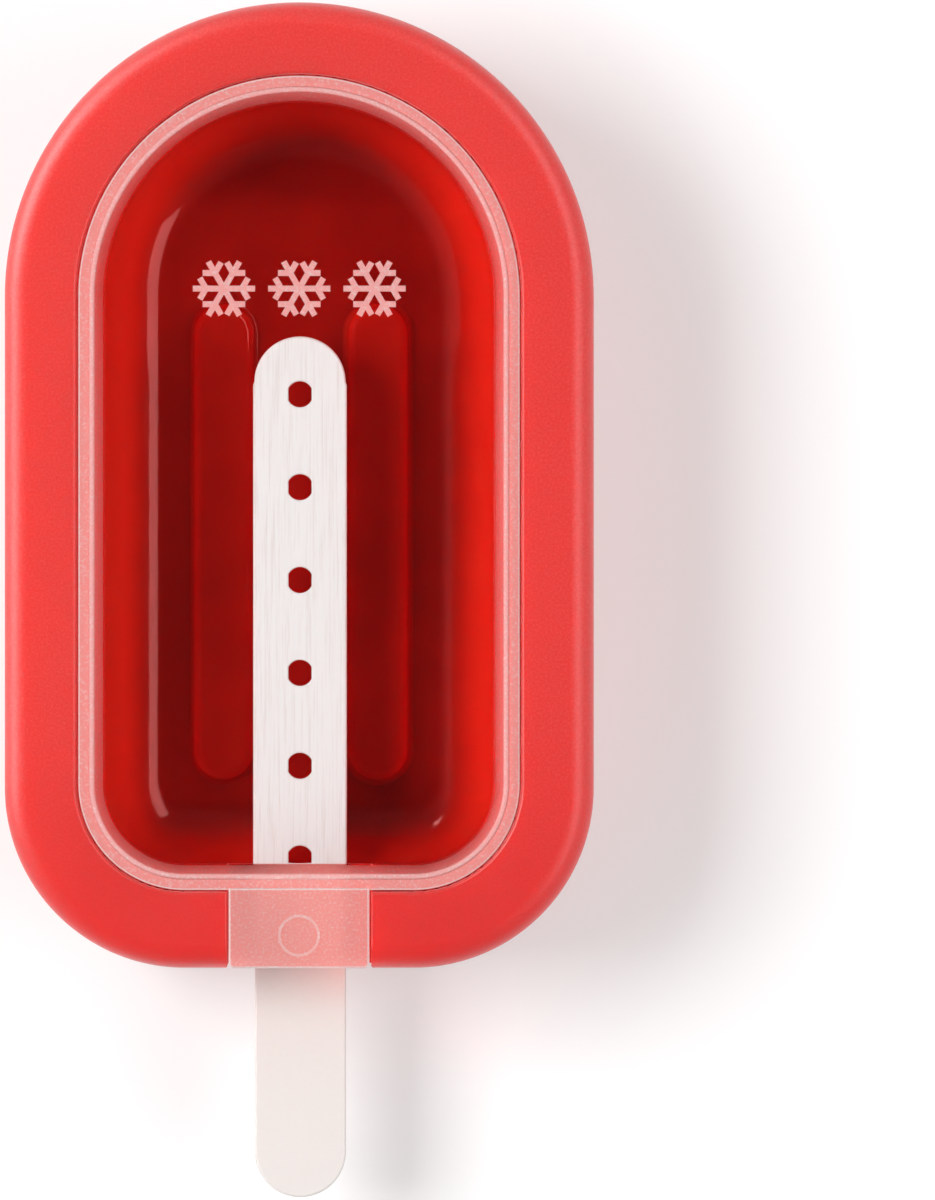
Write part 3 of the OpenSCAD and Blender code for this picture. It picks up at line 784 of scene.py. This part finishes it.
def floor():
    material, tree = newMaterial("paintedBoard")          # matt white board, white wherever no shadow falls
    board = addNode(tree, "ShaderNodeBsdfPrincipled", {"Base Color": linear(studio["floorColour"]), "Roughness": 0.8,
                                                       "Specular IOR Level": 0.0}).outputs[0]
    path = addNode(tree, "ShaderNodeLightPath").outputs
    seen = addNode(tree, "ShaderNodeMath", {0: path["Is Camera Ray"], 1: path["Is Glossy Ray"]},
                   operation="MAXIMUM").outputs[0]
    seen = addNode(tree, "ShaderNodeMath", {0: seen, 1: path["Is Transmission Ray"]}, operation="MAXIMUM").outputs[0]
    power = addNode(tree, "ShaderNodeMath", {0: seen, 1: studio["floorGlow"]}, operation="MULTIPLY").outputs[0]
    glow = addNode(tree, "ShaderNodeEmission", {"Strength": power}).outputs[0]
    both = addNode(tree, "ShaderNodeAddShader", {0: board, 1: glow}).outputs[0]
    addNode(tree, "ShaderNodeOutputMaterial", {"Surface": both})
    half = studio["floorSize"] / 2 / mm
    corners = [(-half, -half, 0), (half, -half, 0), (half, half, 0), (-half, half, 0)]
    obj = meshObject("floor", corners, [(0, 1, 2, 3)])
    obj.data.materials.append(material)


mirrorsBoxes = bpy.data.collections.new("mirrorsBoxes")       # without the lid, whose flat pane would turn white
for piece in (mold, whiteStick):
    mirrorsBoxes.objects.link(piece)


def areaLight(name, place, size, power, mirrored):
    light = bpy.data.lights.new(name, "AREA")
    light.shape = "RECTANGLE"
    light.size, light.size_y = size
    light.energy = power
    obj = bpy.data.objects.new(name, light)
    bpy.context.scene.collection.objects.link(obj)
    obj.location = place
    obj.rotation_euler = (Vector(studio["aim"]) - Vector(place)).to_track_quat("-Z", "Y").to_euler()
    obj.visible_camera = False
    obj.visible_diffuse = not mirrored
    obj.visible_glossy = obj.visible_transmission = mirrored
    if mirrored:
        obj.light_linking.receiver_collection = mirrorsBoxes


def sky():       # pale all round and paler at the sides, dark overhead, white where the camera sees it
    world = bpy.data.worlds.new("studio")
    world.use_nodes = True
    tree = world.node_tree
    tree.nodes.clear()
    up = addNode(tree, "ShaderNodeTexCoord").outputs["Generated"]
    parts = addNode(tree, "ShaderNodeSeparateXYZ", {0: up}).outputs
    away = addNode(tree, "ShaderNodeMath", {0: parts["Y"]}, operation="ABSOLUTE").outputs[0]
    side = addNode(tree, "ShaderNodeMapRange", {"Value": away, "To Min": studio["sides"],
                                                "To Max": studio["ends"]}).outputs[0]
    dim = addNode(tree, "ShaderNodeMapRange", {
        "Value": parts["Z"], "From Min": studio["paleUpTo"], "From Max": studio["darkFrom"],
        "To Min": studio["sky"], "To Max": studio["zenith"]}, interpolation_type="SMOOTHSTEP").outputs[0]
    around = addNode(tree, "ShaderNodeMath", {0: dim, 1: side}, operation="MULTIPLY").outputs[0]
    path = addNode(tree, "ShaderNodeLightPath").outputs
    mirrored = addNode(tree, "ShaderNodeMapRange", {
        "Value": parts["X"], "From Min": -1.0, "To Min": studio["mirroredLeft"],
        "To Max": studio["mirroredRight"]}).outputs[0]
    seen = addNode(tree, "ShaderNodeMix", {"Factor": path["Is Glossy Ray"], "A": 1.0,
                                           "B": mirrored}).outputs["Result"]
    around = addNode(tree, "ShaderNodeMath", {0: around, 1: seen}, operation="MULTIPLY").outputs[0]
    strength = addNode(tree, "ShaderNodeMix", {"Factor": path["Is Camera Ray"], "A": around,
                                               "B": 1.0}).outputs["Result"]
    light = addNode(tree, "ShaderNodeBackground", {"Strength": strength}).outputs[0]
    addNode(tree, "ShaderNodeOutputWorld", {"Surface": light})
    bpy.context.scene.world = world


def camera():                    # straight down, with the mold at the left of the frame
    data = bpy.data.cameras.new("camera")
    data.lens, data.sensor_width, data.clip_end = view["lens"], view["sensor"], view["far"]
    obj = bpy.data.objects.new("camera", data)
    bpy.context.scene.collection.objects.link(obj)
    obj.location = (view["x"], view["y"], bodyHigh.z * mm + view["above"])
    bpy.context.scene.camera = obj


floor()
for name, settings in lights.items():
    areaLight(name, *settings)
sky()
camera()
bpy.context.scene.view_settings.view_transform = "Standard"
print("floor, light and camera set")
